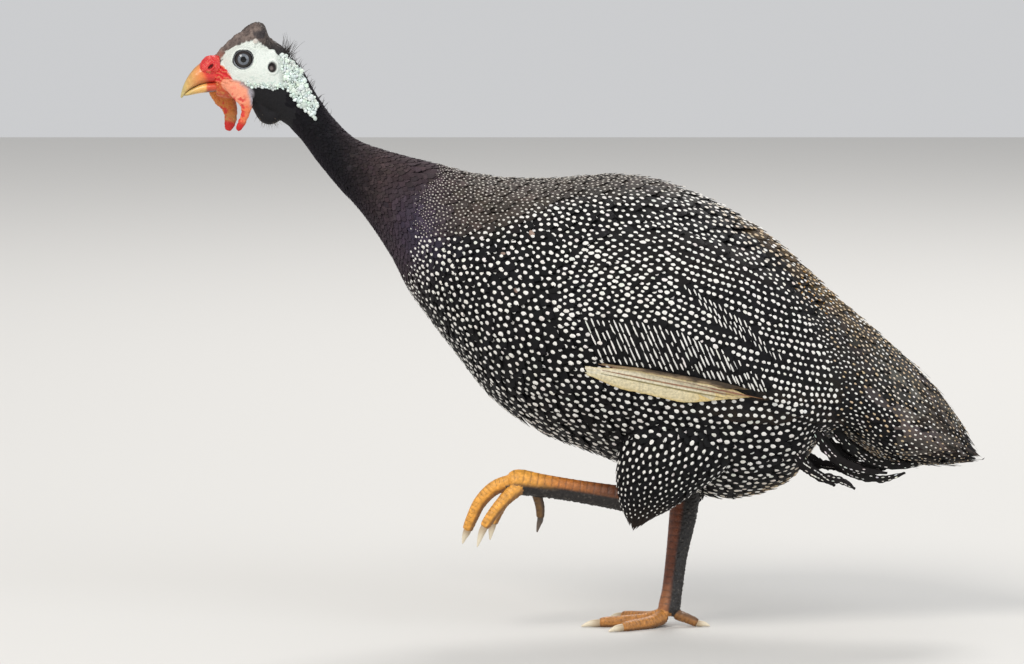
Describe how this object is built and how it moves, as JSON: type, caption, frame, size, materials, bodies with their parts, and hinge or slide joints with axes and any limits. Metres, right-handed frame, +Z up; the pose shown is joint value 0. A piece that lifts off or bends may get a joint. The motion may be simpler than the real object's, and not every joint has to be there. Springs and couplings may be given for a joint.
{
  "type": "guinea fowl",
  "caption": "Life-size still model of a helmeted guinea fowl in mid step, with spotted plumage, a bony casque, red wattles and one foot lifted.",
  "frame": {"origin": "on the ground, under the middle of the bird's bounding box", "axes": "+Z up; the bill points along -X and the tail along +X; the bird's left side faces -Y"},
  "size_m": [0.4844, 0.1706, 0.3714],
  "materials": {
    "skin_face": "bare bluish white skin",
    "skin_neck": "black skin with fine short down",
    "plumage_neck": "slate brown velvety feathers",
    "plumage_body": "black feathers with round white spots",
    "plumage_tail": "grey brown feathers with small white spots",
    "eye": "dark grey, wet gloss",
    "ear": "dark opening",
    "horn": "dry brown horn",
    "bill": "orange to ivory horn",
    "cere": "red swollen skin",
    "skin_throat": "black bare skin",
    "wattle": "salmon skin with red tips",
    "plumage_wing": "black feathers with white spots and bars",
    "primaries": "cream flight feathers",
    "plumage_thigh": "black feathers with long white spots",
    "leg_scales": "orange and dark brown scales",
    "toe_scales": "orange scales",
    "claw": "ivory horn"
  },
  "bodies": {
    "root": {"head": "skin_face", "neck_upper": "skin_neck", "neck_lower": "plumage_neck", "trunk": "plumage_body", "tail": "plumage_tail", "eye_left": "eye", "eye_right": "eye", "ear_left": "ear", "ear_right": "ear", "casque": "horn", "bill_upper": "bill", "bill_lower": "bill", "cere": "cere", "throat": "skin_throat", "wattle_left": "wattle", "wattle_right": "wattle", "wing_left": "plumage_wing", "primaries_left": "primaries", "wing_right": "plumage_wing", "primaries_right": "primaries", "thigh_left": "plumage_thigh", "tarsus_left": "leg_scales", "thigh_right": "plumage_thigh", "tarsus_right": "leg_scales", "left_toe_1": "toe_scales", "left_claw_1": "claw", "left_toe_2": "toe_scales", "left_claw_2": "claw", "left_toe_3": "toe_scales", "left_claw_3": "claw", "left_toe_4": "toe_scales", "left_claw_4": "claw", "right_toe_1": "toe_scales", "right_claw_1": "claw", "right_toe_2": "toe_scales", "right_claw_2": "claw", "right_toe_3": "toe_scales", "right_claw_3": "claw", "right_toe_4": "toe_scales", "right_claw_4": "claw"}
  },
  "joints": []
}
